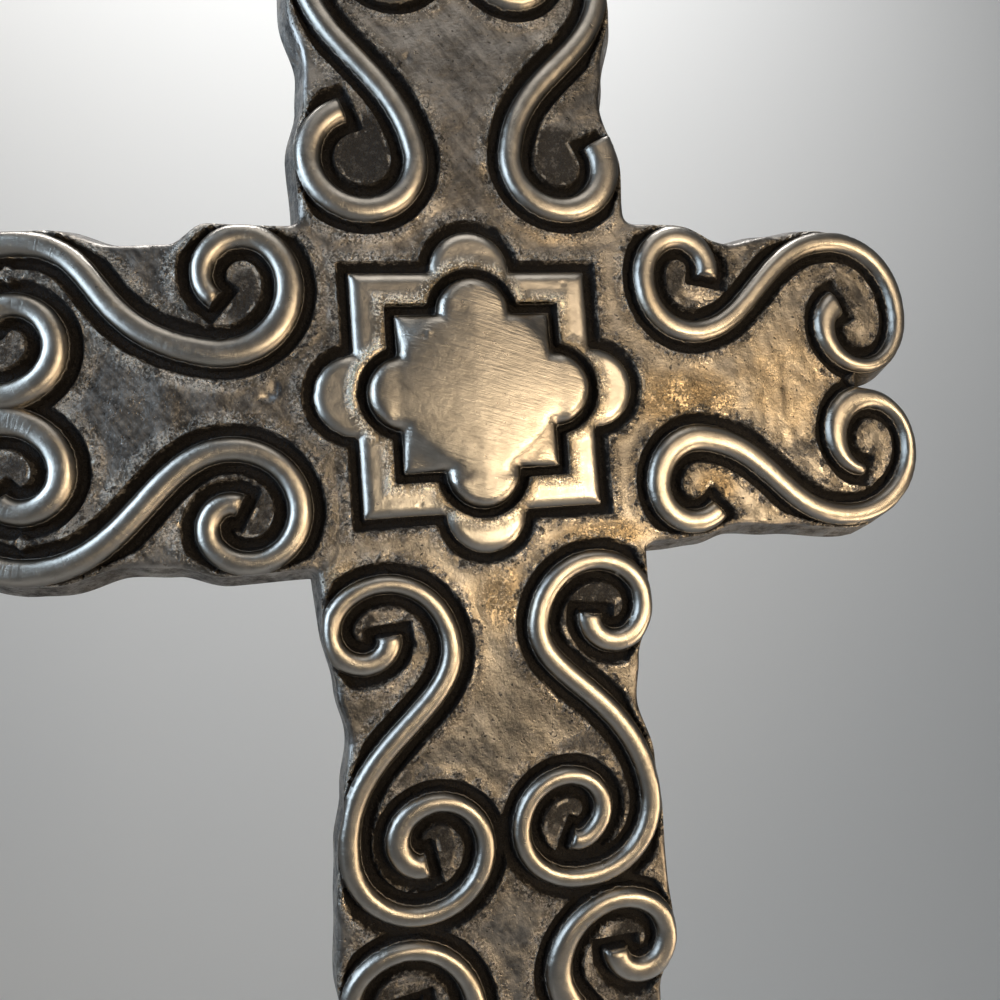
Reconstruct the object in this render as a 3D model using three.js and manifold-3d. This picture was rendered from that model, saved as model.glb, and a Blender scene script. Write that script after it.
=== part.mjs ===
// Cast metal wall cross: a plate with drafted sides, ten scrolls and a rosette in relief.
// Sizes are in mm. In plan they count from the rosette's centre, x to the right and z up.
// Levels count forward of the flat back, which is the plane y = 0.
import * as THREE from "three";
import { mergeVertices } from "three/addons/utils/BufferGeometryUtils.js";
import Module from "manifold-3d";

// Overall size of the cross
const HEIGHT = 355.6;
const WIDTH = 254;

// The drawn pattern of edges and scrolls is given in thousandths of the height
const PATTERN_UNIT = HEIGHT / 1000;

// How far the eyes of the side arms' end loops lie in from the arms' ends
const SIDE_EYE_INSET = 20.4;
const SIDE_EYE = (WIDTH / 2 - SIDE_EYE_INSET) / PATTERN_UNIT;

// Where the cross hangs: height of the origin above the rosette's centre
const HANG_HEIGHT = 100;

// Levels
const GROUND_LEVEL = 8;
const FLOOR_LEVEL = 5.9;
const BAR_SHOULDER_LEVEL = 8.4;
const BAR_CREST_LEVEL = 9.7;
const BAND_EDGE_LEVEL = 7.8;
const BAND_LEVEL = 8.6;
const PILLOW_EDGE_LEVEL = 7.6;
const PILLOW_SHOULDER_LEVEL = 9.9;
const PILLOW_CREST_LEVEL = 11.4;

// Sides: how far the back outline stands outside the front one
const DRAFT_ARMS = 2.6;
const DRAFT_FOOT = 1.2;
const DRAFT_CHANGE_TOP = -40;
const DRAFT_CHANGE_BOTTOM = -62;

// Crossing corners
const CORNER_RADIUS = 3.2;
const CORNER_STEPS = 3;
const EDGE_STEP = 5;

// Edges of the arms in pattern units: distance along the arm from the rosette's centre,
// then half width
const ARM_EDGES = {
  rightTop: [
    [132.2, 120.9], [157.5, 120.4], [199.7, 105.7], [236.2, 111.6], [275.6, 116.7], [SIDE_EYE, 113.6],
  ],
  rightBottom: [
    [132.2, 114.7], [160.3, 113], [188.4, 106.6], [225, 109.7], [286.8, 115.9], [SIDE_EYE, 114.7],
  ],
  bottomRight: [
    [129.4, 115.3], [160.3, 115.9], [196.9, 103.5], [225, 99.6], [267.2, 109.7], [303.7, 112.5],
    [348.7, 111.9], [396.5, 115], [430.3, 99.8], [458.4, 98.4], [506.2, 109.7], [545.6, 113.6],
  ],
  bottomLeft: [
    [129.4, 115.9], [157.5, 116.1], [196.9, 109.7], [230.6, 103.8], [267.2, 109.7], [303.7, 116.1],
    [343.1, 118.7], [388.1, 121.8], [416.2, 118.1], [455.6, 106.9], [483.7, 104.6], [517.4, 109.7],
    [551.2, 114.2],
  ],
  leftBottom: [
    [129.4, 114.7], [174.4, 115.3], [208.1, 106.3], [236.2, 104], [275.6, 112.5], [SIDE_EYE, 111.4],
  ],
  leftTop: [
    [129.4, 117.5], [174.4, 119], [199.7, 104.6], [230.6, 103.5], [270, 113.6], [SIDE_EYE, 112.5],
  ],
  topLeft: [
    [132.2, 113.9], [168.7, 115.3], [208.1, 106.3], [230.6, 104.6], [272.8, 113.9], [315, 112.5],
  ],
  topRight: [
    [132.2, 118.1], [160.3, 119.2], [210.9, 106.3], [236.2, 109.7], [284, 119.8], [315, 118.1],
  ],
};

// Scrolls in pattern units: each is a hook and a loop, spirals round an eye, joined by a bend.
// Radii are spread evenly over the sweep, from the bend inward; angles are in degrees;
// reach is the length of the bend's handles as a share of its span.
const SCROLLS = {
  topLeft: {
    hook: { eye: [-68.9, 165.9], start: 12, sweep: -262, radii: [36.6, 36.6, 37.4, 35.2] },
    loop: { eye: [-45, 315], start: 190, sweep: -400, radii: [59.6, 47.8, 34.3, 28.1, 16.9] },
    reach: [0.42, 0.42],
    widths: [17.5, 18.4, 17.3, 16.8, 16.3, 16, 15.7, 15.4, 15.2],
  },
  topRight: {
    hook: { eye: [71.7, 166.8], start: 172, sweep: 214, radii: [36, 36, 36.6, 34] },
    loop: { eye: [50.6, 315], start: -10, sweep: 400, radii: [62.4, 47.8, 34.9, 28.1, 16.9] },
    reach: [0.42, 0.42],
    widths: [23.5, 18.5, 17.2, 16.7, 16.3, 16, 15.7, 15.4, 15.2],
  },
  leftTop: {
    hook: { eye: [-158.9, 81.6], start: -112, sweep: 341, radii: [52.9, 37.7, 31.5, 22.2, 18.8] },
    loop: { eye: [-SIDE_EYE, 45], start: 80, sweep: 400, radii: [60.5, 42.7, 36.6, 28.1, 15.5] },
    reach: [0.6, 0.42],
    widths: [14.1, 19.7, 16.3, 18.6, 15.2],
  },
  leftBottom: {
    hook: { eye: [-161.7, -78.7], start: 104, sweep: -364, radii: [47.8, 37.1, 29.8, 23.6, 9] },
    loop: { eye: [-SIDE_EYE, -45], start: -80, sweep: -400, radii: [59.1, 42.2, 36.6, 28.1, 15.5] },
    reach: [0.32, 0.42],
    widths: [15.7, 16.9, 16.9, 19.1, 16.9],
  },
  rightTop: {
    hook: { eye: [160.3, 78.7], start: -72, sweep: -284, radii: [41.1, 29.8, 32.1, 20.5] },
    loop: { eye: [SIDE_EYE, 46.4], start: 104, sweep: -330, radii: [63, 42.5, 39.8, 27, 17] },
    reach: [0.34, 0.42],
    widths: [16.9, 16.9, 16.9, 16.3, 15.7, 15.5, 14, 12, 21],
  },
  rightBottom: {
    hook: { eye: [160.3, -73.1], start: 78, sweep: 228, radii: [33.2, 30.4, 30.9, 26.2] },
    loop: { eye: [SIDE_EYE, -45], start: -104, sweep: 372, radii: [62.4, 41.6, 29.6, 21.6, 27] },
    reach: [0.42, 0.42],
    widths: [16.9, 18.5, 20.2, 18, 16.9, 16, 11.5, 21, 9],
  },
  lowerLeft: {
    hook: { eye: [-85.8, -163.1], start: 0, sweep: 356, radii: [53.4, 32.9, 25.6, 18.3, 12.7] },
    loop: { eye: [-60.5, -306.5], start: 180, sweep: 462, radii: [47.8, 45, 42.5, 24.5, 15, 13] },
    reach: [0.36, 0.47],
    widths: [16.9, 15.4, 14.2, 13.5, 14.2, 15.2, 15.7, 15.4, 15, 14.6, 14.4, 14.2, 14, 13.8, 16.6, 17],
  },
  lowerRight: {
    hook: { eye: [84.4, -161.7], start: 180, sweep: -360, radii: [52.6, 36.3, 25.6, 20.8, 15.2] },
    loop: { eye: [49.2, -306.5], start: 22, sweep: -502, radii: [58.5, 38, 41.1, 31.5, 13.5, 11.6] },
    reach: [0.3, 0.5],
    widths: [18, 15.2, 16.9, 15.2, 13.5, 14.1],
  },
  footLeft: {
    hook: { eye: [-87.2, -407.8], start: 0, sweep: 356, radii: [54, 34, 27, 19.1, 12.7] },
    loop: { eye: [-59.1, -554], start: 180, sweep: 462, radii: [47.8, 56.2, 42.5, 24.5, 15, 13] },
    reach: [0.36, 0.47],
    widths: [16.9, 15.4, 14.2, 13.5, 14.2, 15.2, 15.7, 15.4, 15, 14.6, 14.4, 14.2, 14, 13.8, 16.6, 17],
  },
  footRight: {
    hook: {
      eye: [84.4, -395.1],
      start: 180,
      sweep: -356,
      radii: [55, 40, 31.2, 27, 23.6, 21.2, 19.1, 17.2, 15.2],
    },
    loop: { eye: [50.6, -548.4], start: 18, sweep: -508, radii: [58.5, 59.6, 41.1, 32.9, 13.5, 11] },
    reach: [0.3, 0.5],
    widths: [18, 16.3, 15, 20, 17.5, 16, 15.2, 14.3, 13.5, 13.5, 14.1],
  },
};
const TURN_STEP = 24;
const BEND_STEPS = 5;
const PIECE_TURN = 250;

// Groove beside every bar, and past its cut ends
const GROOVE_WIDTH = 3.1;
const GROOVE_SLOPE = 0.9;
const GROOVE_PAST_END = 3;
const GROOVE_INNER_SHARE = 0.86;
const BAR_SHOULDER_SHARE = 0.8;

// Rosette: a square with a round lobe on each side; reach is to the lobe's tip
const BAND = {
  half: 30,
  lobe: 10,
  reach: { right: 40.4, top: 40.4, left: 40, bottom: 40.2 },
  groove: 3,
  softEdge: 1.1,
};
const PILLOW = {
  half: 19.6,
  lobe: 9.4,
  reach: { right: 29, top: 28.7, left: 27.4, bottom: 29.3 },
  groove: 2.4,
  shoulder: 3.4,
  crown: 11,
};
const LOBE_STEPS = 8;

// Room left round the solids when they are cut or joined
const CLEARANCE = 4;
const EMBED = 1.5;

const radians = (degrees) => (degrees * Math.PI) / 180;
const mix = (a, b, t) => a + (b - a) * t;
const plus = (p, q, k) => [p[0] + q[0] * k, p[1] + q[1] * k];
const unit = (p) => [p[0] / Math.hypot(...p), p[1] / Math.hypot(...p)];

// Smooth curve through evenly spaced values, read at t from 0 to 1
function spread(values, t) {
  const last = values.length - 1;
  const i = Math.min(Math.floor(t * last), last - 1);
  const f = t * last - i;
  const b = values[i];
  const c = values[i + 1];
  const a = i > 0 ? values[i - 1] : 2 * b - c;
  const d = i + 2 <= last ? values[i + 2] : 2 * c - b;
  const bend = (2 * a - 5 * b + 4 * c - d) * f * f;
  const twist = (3 * b - a - 3 * c + d) * f * f * f;
  return 0.5 * (2 * b + (c - a) * f + bend + twist);
}

// Half width at a distance along an arm, eased from station to station
function edgeAt(stations, along) {
  let i = 0;
  while (i < stations.length - 2 && along > stations[i + 1][0]) {
    i += 1;
  }
  const [from, to] = [stations[i], stations[i + 1]];
  const t = Math.min(Math.max((along - from[0]) / (to[0] - from[0]), 0), 1);
  return mix(from[1], to[1], (1 - Math.cos(Math.PI * t)) / 2);
}

function spiralPoint(spiral, t) {
  const angle = radians(spiral.start + spiral.sweep * t);
  const radius = spread(spiral.radii, t);
  const x = spiral.eye[0] + radius * Math.cos(angle);
  const z = spiral.eye[1] + radius * Math.sin(angle);
  return [x * PATTERN_UNIT, z * PATTERN_UNIT];
}

// Centre points of a whole scroll, from the hook's cut end to the loop's, with its parts marked
function scrollLine(scroll) {
  const small = 0.002;
  const hookStart = spiralPoint(scroll.hook, 0);
  const loopStart = spiralPoint(scroll.loop, 0);
  const hookWay = unit(plus(hookStart, spiralPoint(scroll.hook, small), -1));
  const loopWay = unit(plus(spiralPoint(scroll.loop, small), loopStart, -1));
  const span = Math.hypot(loopStart[0] - hookStart[0], loopStart[1] - hookStart[1]);
  const hookHandle = plus(hookStart, hookWay, span * scroll.reach[0]);
  const loopHandle = plus(loopStart, loopWay, -span * scroll.reach[1]);
  const hookSteps = Math.ceil(Math.abs(scroll.hook.sweep) / TURN_STEP);
  const loopSteps = Math.ceil(Math.abs(scroll.loop.sweep) / TURN_STEP);
  const points = [];
  for (let i = hookSteps; i >= 0; i -= 1) {
    points.push(spiralPoint(scroll.hook, i / hookSteps));
  }
  for (let i = 1; i < BEND_STEPS; i += 1) {
    const t = i / BEND_STEPS;
    const s = 1 - t;
    const share = [s * s * s, 3 * s * s * t, 3 * s * t * t, t * t * t];
    const ends = [hookStart, hookHandle, loopHandle, loopStart];
    points.push([0, 1].map((k) => ends.reduce((sum, p, j) => sum + p[k] * share[j], 0)));
  }
  for (let i = 0; i <= loopSteps; i += 1) {
    points.push(spiralPoint(scroll.loop, i / loopSteps));
  }
  return points;
}

// Side direction, half width and room to the inside of the bend at every point of a line
function stationsOf(scroll) {
  const points = scrollLine(scroll);
  const lengths = [0];
  for (let i = 1; i < points.length; i += 1) {
    const step = Math.hypot(points[i][0] - points[i - 1][0], points[i][1] - points[i - 1][1]);
    lengths.push(lengths[i - 1] + step);
  }
  const total = lengths[lengths.length - 1];
  return points.map((point, i) => {
    const before = points[Math.max(i - 1, 0)];
    const after = points[Math.min(i + 1, points.length - 1)];
    const way = unit(plus(after, before, -1));
    const half = (spread(scroll.widths, lengths[i] / total) * PATTERN_UNIT) / 2;
    return { point, way, side: [-way[1], way[0]], half, turn: turnRadius(before, point, after) };
  });
}

// Signed radius of the circle through three points, positive where it bends to the left
function turnRadius(a, b, c) {
  const cross = (b[0] - a[0]) * (c[1] - b[1]) - (b[1] - a[1]) * (c[0] - b[0]);
  const sides = Math.hypot(b[0] - a[0], b[1] - a[1])
    * Math.hypot(c[0] - b[0], c[1] - b[1])
    * Math.hypot(c[0] - a[0], c[1] - a[1]);
  return Math.abs(cross) < 1e-6 ? Infinity : sides / (2 * cross);
}

// Solid through rings of plan points with levels; each ring lists [x, z, level]
function loft(rings) {
  const around = rings[0].length;
  const positions = [];
  for (const ring of rings) {
    for (const [x, z, level] of ring) {
      positions.push(x, -level, z - HANG_HEIGHT);
    }
  }
  const index = [];
  for (let i = 0; i + 1 < rings.length; i += 1) {
    for (let j = 0; j < around; j += 1) {
      const k = (j + 1) % around;
      const [a, b] = [i * around + j, i * around + k];
      const [c, d] = [a + around, b + around];
      index.push(a, b, d, a, d, c);
    }
  }
  const capped = (offset, ring, flip) => {
    const flat = capFaces(ring);
    for (const [a, b, c] of flat) {
      index.push(...(flip ? [offset + a, offset + c, offset + b] : [offset + a, offset + b, offset + c]));
    }
  };
  capped(0, rings[0], true);
  capped((rings.length - 1) * around, rings[rings.length - 1], false);
  return solidFrom(positions, index);
}

// Triangles of a closed ring: in plan where the ring lies level, else a fan across the section
function capFaces(ring) {
  const level = ring.every((p) => Math.abs(p[2] - ring[0][2]) < 1e-9);
  if (!level) {
    return ring.slice(2).map((_, i) => [0, i + 1, i + 2]);
  }
  const contour = ring.map((p) => new THREE.Vector2(p[0], p[1]));
  return THREE.ShapeUtils.triangulateShape(contour, []);
}

const wasm = await Module();
wasm.setup();

function solidFrom(positions, index) {
  const raw = new THREE.BufferGeometry();
  raw.setAttribute("position", new THREE.Float32BufferAttribute(positions, 3));
  raw.setIndex(index);
  const merged = mergeVertices(raw, 1e-4);
  const triVerts = new Uint32Array(merged.index.array);
  const vertProperties = merged.attributes.position.array;
  return new wasm.Manifold(new wasm.Mesh({ numProp: 3, vertProperties, triVerts }));
}

// The same solid read back, so that its level faces count as one face each in the next cut
function settled(solid) {
  const mesh = solid.getMesh();
  return solidFrom(mesh.vertProperties, Array.from(mesh.triVerts));
}

// Plan ring counter-clockwise as seen from the front
function counterClockwise(points) {
  let area = 0;
  points.forEach((p, i) => {
    const q = points[(i + 1) % points.length];
    area += p[0] * q[1] - q[0] * p[1];
  });
  return area > 0 ? points : [...points].reverse();
}

const atLevel = (points, level) => points.map((p) => [p[0], p[1], level]);
const prism = (points, low, high) => loft([atLevel(points, low), atLevel(points, high)]);

function draftAt(z) {
  const t = (DRAFT_CHANGE_TOP - z) / (DRAFT_CHANGE_TOP - DRAFT_CHANGE_BOTTOM);
  return mix(DRAFT_ARMS, DRAFT_FOOT, Math.min(Math.max(t, 0), 1));
}

// Plate: drafted from the larger back outline to the front one
function draftedPlate(outline) {
  const back = outline.map((p, i) => {
    const before = outline[(i + outline.length - 1) % outline.length];
    const after = outline[(i + 1) % outline.length];
    const inward = unit(plus(p, before, -1));
    const onward = unit(plus(after, p, -1));
    const normal = unit([inward[1] + onward[1], -inward[0] - onward[0]]);
    const square = normal[0] * onward[1] - normal[1] * onward[0];
    return plus(p, normal, draftAt(p[1]) / square);
  });
  return loft([atLevel(back, 0), atLevel(outline, GROUND_LEVEL)]);
}

// Wavy edge of an arm from its root to its end, as [x, z] points
function edgeLine(stations, place) {
  const [from, to] = [stations[0][0], stations[stations.length - 1][0]];
  const steps = Math.ceil(((to - from) * PATTERN_UNIT) / EDGE_STEP);
  return Array.from({ length: steps + 1 }, (_, i) => {
    const along = mix(from, to, i / steps);
    return place(along * PATTERN_UNIT, edgeAt(stations, along) * PATTERN_UNIT);
  });
}

// Rounded inner corner between the ends of two edges
function corner(from, meet, to) {
  const start = plus(meet, unit(plus(from, meet, -1)), CORNER_RADIUS);
  const end = plus(meet, unit(plus(to, meet, -1)), CORNER_RADIUS);
  return Array.from({ length: CORNER_STEPS + 1 }, (_, i) => {
    const t = i / CORNER_STEPS;
    return [0, 1].map((k) => mix(mix(start[k], meet[k], t), mix(meet[k], end[k], t), t));
  });
}

// Front outline of the body, counter-clockwise from the right arm's lower edge
function bodyOutline() {
  const e = ARM_EDGES;
  const right = (sign) => (along, half) => [along, sign * half];
  const left = (sign) => (along, half) => [-along, sign * half];
  const up = (sign) => (along, half) => [sign * half, along];
  const down = (sign) => (along, half) => [sign * half, -along];
  const sides = [
    [edgeLine(e.rightBottom, right(-1)), edgeLine(e.rightTop, right(1)).reverse()],
    [edgeLine(e.topRight, up(1)), edgeLine(e.topLeft, up(-1)).reverse()],
    [edgeLine(e.leftTop, left(1)), edgeLine(e.leftBottom, left(-1)).reverse()],
    [edgeLine(e.bottomLeft, down(-1)), edgeLine(e.bottomRight, down(1)).reverse()],
  ];
  return sides.flatMap(([going, coming], i) => {
    const first = sides[(i + 1) % sides.length][0][0];
    const last = coming[coming.length - 1];
    const meet = i % 2 === 0 ? [first[0], last[1]] : [last[0], first[1]];
    return [...going, ...coming, ...corner(last, meet, first)];
  });
}

// End of an arm: the area inside a loop's outer rim
function loopPad(scroll) {
  const line = stationsOf(scroll);
  const hookSteps = Math.ceil(Math.abs(scroll.hook.sweep) / TURN_STEP);
  const first = hookSteps + BEND_STEPS;
  const count = Math.floor(360 / TURN_STEP);
  const outward = Math.sign(scroll.loop.sweep);
  const rim = line.slice(first, first + count).map((s) => plus(s.point, s.side, -outward * s.half));
  return counterClockwise(rim);
}

// Sweep of a section along stations; the section gives [share of half width, extra, level]
function sweep(line, section) {
  const rings = line.map((s) => section.map(([share, extra, level]) => {
    const out = share * s.half + extra;
    const towardEye = out * s.turn > 0;
    const room = Math.abs(s.turn) * GROOVE_INNER_SHARE;
    const offset = towardEye ? Math.sign(out) * Math.min(Math.abs(out), room) : out;
    const p = plus(s.point, s.side, offset);
    return [p[0], p[1], level];
  }));
  return loft(rings);
}

const grooveSection = [
  [-1, -GROOVE_WIDTH, GROUND_LEVEL + CLEARANCE],
  [-1, -GROOVE_WIDTH, GROUND_LEVEL],
  [-1, GROOVE_SLOPE - GROOVE_WIDTH, FLOOR_LEVEL],
  [1, GROOVE_WIDTH - GROOVE_SLOPE, FLOOR_LEVEL],
  [1, GROOVE_WIDTH, GROUND_LEVEL],
  [1, GROOVE_WIDTH, GROUND_LEVEL + CLEARANCE],
];

const barSection = [
  [1, 0, FLOOR_LEVEL - EMBED],
  [1, 0, FLOOR_LEVEL],
  [BAR_SHOULDER_SHARE, 0, BAR_SHOULDER_LEVEL],
  [0, 0, BAR_CREST_LEVEL],
  [-BAR_SHOULDER_SHARE, 0, BAR_SHOULDER_LEVEL],
  [-1, 0, FLOOR_LEVEL],
  [-1, 0, FLOOR_LEVEL - EMBED],
];

// A scroll's grooves, in runs that never cross themselves and that share one step with the next
function grooves(scroll) {
  const line = stationsOf(scroll);
  const start = line[0];
  const end = line[line.length - 1];
  const longer = [
    { ...start, point: plus(start.point, start.way, -GROOVE_PAST_END), turn: Infinity },
    ...line,
    { ...end, point: plus(end.point, end.way, GROOVE_PAST_END), turn: Infinity },
  ];
  const perRun = Math.round(PIECE_TURN / TURN_STEP);
  const runs = [];
  for (let i = 0; i < longer.length - 1; i += perRun) {
    runs.push(sweep(longer.slice(i, i + perRun + 2), grooveSection));
  }
  return runs;
}

// Outline of the rosette's kind: a square with a round lobe on each side, grown by a distance
function rosetteOutline(size, grow) {
  const half = size.half + grow;
  const radius = size.lobe + grow;
  const sides = [size.reach.right, size.reach.top, size.reach.left, size.reach.bottom];
  const outline = [];
  sides.forEach((reach, side) => {
    const turn = (side * Math.PI) / 2;
    const place = (along, across) => [
      along * Math.cos(turn) - across * Math.sin(turn),
      along * Math.sin(turn) + across * Math.cos(turn),
    ];
    const centre = reach + grow - radius;
    const opening = Math.acos(Math.min(Math.max((half - centre) / radius, -1), 1));
    outline.push(place(half, -half));
    for (let i = 0; i <= LOBE_STEPS; i += 1) {
      const angle = mix(-opening, opening, i / LOBE_STEPS);
      outline.push(place(centre + radius * Math.cos(angle), radius * Math.sin(angle)));
    }
  });
  return outline;
}

// Circle with as many points as a rosette outline, from the same lower right corner
function crownRing(count, radius) {
  return Array.from({ length: count }, (_, i) => {
    const angle = (2 * Math.PI * i) / count - Math.PI / 4;
    return [radius * Math.cos(angle), radius * Math.sin(angle)];
  });
}

function wallCross() {
  let solid = draftedPlate(counterClockwise(bodyOutline()));
  const scrolls = Object.values(SCROLLS);
  for (const scroll of scrolls) {
    solid = solid.add(draftedPlate(loopPad(scroll)));
  }
  solid = settled(solid);
  for (const scroll of scrolls) {
    for (const run of grooves(scroll)) {
      solid = solid.subtract(run);
    }
  }
  solid = settled(solid);
  for (const scroll of scrolls) {
    solid = solid.add(sweep(stationsOf(scroll), barSection));
  }
  const above = GROUND_LEVEL + CLEARANCE;
  solid = solid.subtract(prism(rosetteOutline(BAND, BAND.groove), FLOOR_LEVEL, above));
  solid = solid.add(loft([
    atLevel(rosetteOutline(BAND, 0), FLOOR_LEVEL - EMBED),
    atLevel(rosetteOutline(BAND, 0), BAND_EDGE_LEVEL),
    atLevel(rosetteOutline(BAND, -BAND.softEdge), BAND_LEVEL),
  ]));
  solid = solid.subtract(prism(rosetteOutline(PILLOW, PILLOW.groove), FLOOR_LEVEL, above));
  const shoulder = rosetteOutline(PILLOW, -PILLOW.shoulder);
  return solid.add(loft([
    atLevel(rosetteOutline(PILLOW, 0), FLOOR_LEVEL - EMBED),
    atLevel(rosetteOutline(PILLOW, 0), PILLOW_EDGE_LEVEL),
    atLevel(shoulder, PILLOW_SHOULDER_LEVEL),
    atLevel(crownRing(shoulder.length, PILLOW.crown), PILLOW_CREST_LEVEL),
  ]));
}

// Triangles of the largest connected surface, without the specks that touching cuts leave
function mainSurface(triangles) {
  const owner = new Map();
  const find = (v) => {
    let root = v;
    while (owner.has(root) && owner.get(root) !== root) {
      root = owner.get(root);
    }
    owner.set(v, root);
    return root;
  };
  for (let i = 0; i < triangles.length; i += 3) {
    const root = find(triangles[i]);
    owner.set(find(triangles[i + 1]), root);
    owner.set(find(triangles[i + 2]), root);
  }
  const sizes = new Map();
  for (const v of triangles) {
    sizes.set(find(v), (sizes.get(find(v)) ?? 0) + 1);
  }
  const largest = [...sizes].sort((a, b) => b[1] - a[1])[0][0];
  return Array.from(triangles).filter((_, i) => find(triangles[i - (i % 3)]) === largest);
}

function geometryOf(solid) {
  const mesh = solid.getMesh();
  const geometry = new THREE.BufferGeometry();
  geometry.setAttribute("position", new THREE.Float32BufferAttribute(mesh.vertProperties, 3));
  geometry.setIndex(mainSurface(mesh.triVerts));
  geometry.deleteAttribute("normal");
  const merged = mergeVertices(geometry, 1e-6);
  merged.computeVertexNormals();
  return merged;
}

const castMetal = new THREE.MeshStandardMaterial({
  name: "cast_metal",
  color: 0x8d8579,
  metalness: 1,
  roughness: 0.42,
});

const cross = new THREE.Mesh(geometryOf(wallCross()), castMetal);
cross.name = "wall_cross";

const group = new THREE.Group();
group.add(cross);

export default group;
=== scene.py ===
import math

import bmesh
import bpy
import numpy as np
from mathutils import Matrix


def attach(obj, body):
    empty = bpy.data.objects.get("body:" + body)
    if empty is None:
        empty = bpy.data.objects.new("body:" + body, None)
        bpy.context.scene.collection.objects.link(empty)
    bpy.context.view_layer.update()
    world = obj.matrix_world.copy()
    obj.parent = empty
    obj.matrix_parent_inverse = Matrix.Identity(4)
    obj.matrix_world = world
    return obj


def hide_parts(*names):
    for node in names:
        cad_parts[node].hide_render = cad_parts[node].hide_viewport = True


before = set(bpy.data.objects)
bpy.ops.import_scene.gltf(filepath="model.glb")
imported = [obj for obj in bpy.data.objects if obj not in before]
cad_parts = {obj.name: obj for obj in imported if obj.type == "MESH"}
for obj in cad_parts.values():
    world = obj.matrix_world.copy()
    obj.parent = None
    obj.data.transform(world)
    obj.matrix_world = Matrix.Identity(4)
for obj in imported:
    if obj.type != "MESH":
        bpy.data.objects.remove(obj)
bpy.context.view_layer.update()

bl_info = {
    "name": "Cast metal wall cross",
    "version": (1, 0, 0),
    "blender": (4, 5, 0),
    "location": "View3D > Sidebar > Wall cross",
    "description": "Builds the relief, the metal and the stage of a cast wall cross",
    "category": "Add Mesh",
}

MM = 0.001

# Plan distances are in mm. FAR is a distance too large to matter, and a node this near a
# raised feature's foot stands on the feature's edge.
FAR = 9.0
ON_EDGE = 0.12

# Points measured at a time, so that the tables of distances stay small
BLOCK = 6000

# Points of a spiral, of a scroll's bend and of a corner between two arms
SPIRAL_POINTS = 240
BEND_POINTS = 120
CORNER_POINTS = 8

# A loop's outer rim counts for the outline over this many degrees, and its widths are the
# scroll's from this share of the length on
RIM_TURN = 345
LOOP_START = 0.55

# Edges of the arms, in thousandths of the height: distance along the arm from the
# rosette's centre, then half width. "eye" stands for the side loops' eye distance.
ARM_EDGES = {
    "right_top": [
        (132.2, 120.9), (157.5, 120.4), (199.7, 105.7), (236.2, 111.6), (275.6, 116.7),
        ("eye", 113.6),
    ],
    "right_bottom": [
        (132.2, 114.7), (160.3, 113.0), (188.4, 106.6), (225.0, 109.7), (286.8, 115.9),
        ("eye", 114.7),
    ],
    "bottom_right": [
        (129.4, 115.3), (160.3, 115.9), (196.9, 103.5), (225.0, 99.6), (267.2, 109.7),
        (303.7, 112.5), (348.7, 111.9), (396.5, 115.0), (430.3, 99.8), (458.4, 98.4),
        (506.2, 109.7), (545.6, 113.6),
    ],
    "bottom_left": [
        (129.4, 115.9), (157.5, 116.1), (196.9, 109.7), (230.6, 103.8), (267.2, 109.7),
        (303.7, 116.1), (343.1, 118.7), (388.1, 121.8), (416.2, 118.1), (455.6, 106.9),
        (483.7, 104.6), (517.4, 109.7), (551.2, 114.2),
    ],
    "left_bottom": [
        (129.4, 114.7), (174.4, 115.3), (208.1, 106.3), (236.2, 104.0), (275.6, 112.5),
        ("eye", 111.4),
    ],
    "left_top": [
        (129.4, 117.5), (174.4, 119.0), (199.7, 104.6), (230.6, 103.5), (270.0, 113.6),
        ("eye", 112.5),
    ],
    "top_left": [
        (132.2, 113.9), (168.7, 115.3), (208.1, 106.3), (230.6, 104.6), (272.8, 113.9),
        (315.0, 112.5),
    ],
    "top_right": [
        (132.2, 118.1), (160.3, 119.2), (210.9, 106.3), (236.2, 109.7), (284.0, 119.8),
        (315.0, 118.1),
    ],
}

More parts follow.
